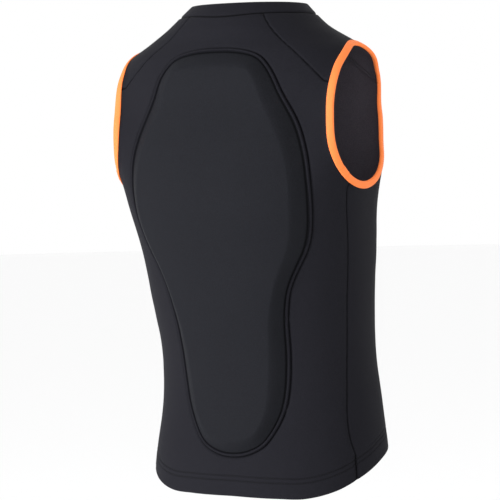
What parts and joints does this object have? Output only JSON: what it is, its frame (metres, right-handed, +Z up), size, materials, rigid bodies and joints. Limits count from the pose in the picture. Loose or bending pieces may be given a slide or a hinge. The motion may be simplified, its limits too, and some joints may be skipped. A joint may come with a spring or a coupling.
{
  "type": "protective vest",
  "caption": "Close-fitting sleeveless sports vest with a padded back protector, elastic armhole bindings, a low collar and a front zip.",
  "frame": {"origin": "base of the neck, in the middle of the collar seam, where the shoulders carry the vest", "axes": "+Z up towards the head, +Y towards the wearer's back, -Y towards the front, +X towards the wearer's left"},
  "size_m": [0.347, 0.2682, 0.6304],
  "materials": {
    "charcoal_knit": "matt stretch knit",
    "pad_fabric": "matt laminated knit over foam",
    "orange_elastic": "matt ribbed elastic",
    "protector_foam": "matt foam",
    "zip_tape": "matt"
  },
  "bodies": {
    "root": {"back_panel": "charcoal_knit", "shoulder_panel_left": "charcoal_knit", "shoulder_panel_right": "charcoal_knit", "front_panel_left": "charcoal_knit", "front_panel_right": "charcoal_knit", "collar": "charcoal_knit", "front_zip": "zip_tape", "armhole_binding_left": "orange_elastic", "armhole_binding_right": "orange_elastic", "protector": "protector_foam", "pad_cover": "pad_fabric", "pad_welt": "charcoal_knit"}
  },
  "joints": []
}
